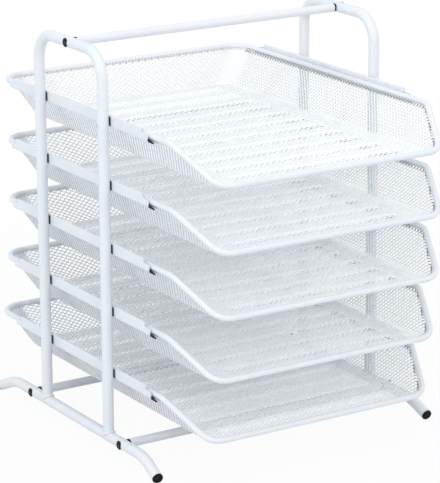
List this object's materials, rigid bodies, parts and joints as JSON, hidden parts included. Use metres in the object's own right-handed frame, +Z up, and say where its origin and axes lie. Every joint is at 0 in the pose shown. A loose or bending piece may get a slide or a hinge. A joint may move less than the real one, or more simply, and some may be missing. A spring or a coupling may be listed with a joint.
{
  "type": "sliding letter tray rack",
  "caption": "White steel desk organizer: tiers of mesh letter trays that slide forward on rails between two bent-tube side frames with black-capped feet.",
  "frame": {"origin": "middle of the bounding box, on the ground that the foot caps stand on", "axes": "+Z up, -Y to the front where the trays pull out, +X to the rack's right as seen from the front"},
  "size_m": [0.304, 0.3798, 0.3738],
  "materials": {
    "white_powder_coat": "semi-gloss white powder coat",
    "white_mesh": "white powder-coated expanded mesh",
    "black_plastic": "black moulded plastic",
    "black_bolt": "black-coated steel"
  },
  "bodies": {
    "frame": {"left_hoop": "white_powder_coat", "left_base_tube": "white_powder_coat", "left_front_foot_cap": "black_plastic", "left_rear_foot_cap": "black_plastic", "left_top_washer": "black_plastic", "left_top_bolt": "black_bolt", "left_base_front_washer": "black_plastic", "left_base_front_bolt": "black_bolt", "left_base_rear_washer": "black_plastic", "left_base_rear_bolt": "black_bolt", "left_rail_1": "white_powder_coat", "left_bumper_1": "black_plastic", "left_rail_2": "white_powder_coat", "left_bumper_2": "black_plastic", "left_rail_3": "white_powder_coat", "left_bumper_3": "black_plastic", "left_rail_4": "white_powder_coat", "left_bumper_4": "black_plastic", "left_rail_5": "white_powder_coat", "left_bumper_5": "black_plastic", "right_hoop": "white_powder_coat", "right_base_tube": "white_powder_coat", "right_front_foot_cap": "black_plastic", "right_rear_foot_cap": "black_plastic", "right_top_washer": "black_plastic", "right_top_bolt": "black_bolt", "right_base_front_washer": "black_plastic", "right_base_front_bolt": "black_bolt", "right_base_rear_washer": "black_plastic", "right_base_rear_bolt": "black_bolt", "right_rail_1": "white_powder_coat", "right_bumper_1": "black_plastic", "right_rail_2": "white_powder_coat", "right_bumper_2": "black_plastic", "right_rail_3": "white_powder_coat", "right_bumper_3": "black_plastic", "right_rail_4": "white_powder_coat", "right_bumper_4": "black_plastic", "right_rail_5": "white_powder_coat", "right_bumper_5": "black_plastic", "top_crossbar": "white_powder_coat", "base_front_crossbar": "white_powder_coat", "base_rear_crossbar": "white_powder_coat"},
    "tray_1": {"tray_1_rim": "white_powder_coat", "tray_1_pan": "white_mesh"},
    "tray_2": {"tray_2_rim": "white_powder_coat", "tray_2_pan": "white_mesh"},
    "tray_3": {"tray_3_rim": "white_powder_coat", "tray_3_pan": "white_mesh"},
    "tray_4": {"tray_4_rim": "white_powder_coat", "tray_4_pan": "white_mesh"},
    "tray_5": {"tray_5_rim": "white_powder_coat", "tray_5_pan": "white_mesh"}
  },
  "joints": [
    {"name": "tray_1_slide", "type": "slide", "parent": "frame", "child": "tray_1", "axis": [0, -1, 0], "range_m": [-0.0182, 0.2]},
    {"name": "tray_2_slide", "type": "slide", "parent": "frame", "child": "tray_2", "axis": [0, -1, 0], "range_m": [-0.0202, 0.198]},
    {"name": "tray_3_slide", "type": "slide", "parent": "frame", "child": "tray_3", "axis": [0, -1, 0], "range_m": [-0.0182, 0.2]},
    {"name": "tray_4_slide", "type": "slide", "parent": "frame", "child": "tray_4", "axis": [0, -1, 0], "range_m": [-0.0112, 0.207]},
    {"name": "tray_5_slide", "type": "slide", "parent": "frame", "child": "tray_5", "axis": [0, -1, 0], "range_m": [-0.0012, 0.217]}
  ]
}
